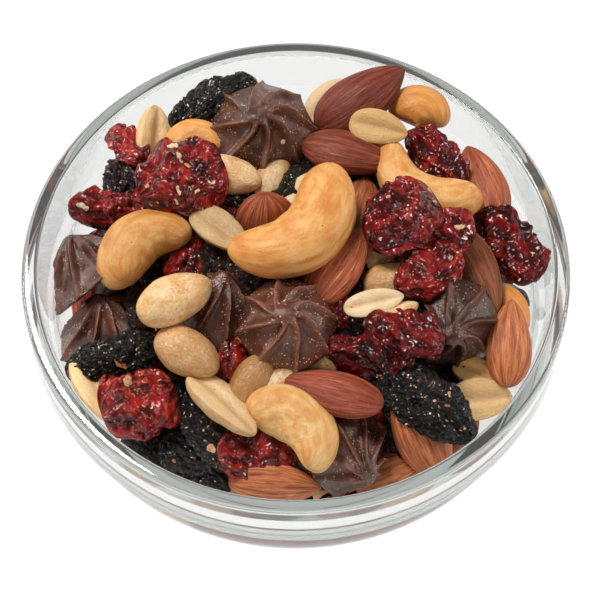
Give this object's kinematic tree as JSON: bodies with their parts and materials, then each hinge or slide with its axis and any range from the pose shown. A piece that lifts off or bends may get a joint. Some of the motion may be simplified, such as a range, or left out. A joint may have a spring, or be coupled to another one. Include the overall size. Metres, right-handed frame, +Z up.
{
  "type": "bowl of trail mix",
  "caption": "Round clear glass bowl heaped above its rim with a mix of nuts, chocolate drops, raisins and dried cranberries.",
  "frame": {"origin": "middle of the foot, on the surface that the bowl stands on", "axes": "+Z up, through the bowl's axis; -Y towards the side that the mix is seen from"},
  "size_m": [0.13, 0.13, 0.0714],
  "materials": {
    "bowl": "clear polished glass",
    "trail_mix": null
  },
  "bodies": {
    "root": {"bowl": "bowl", "trail_mix": "trail_mix"}
  },
  "joints": []
}
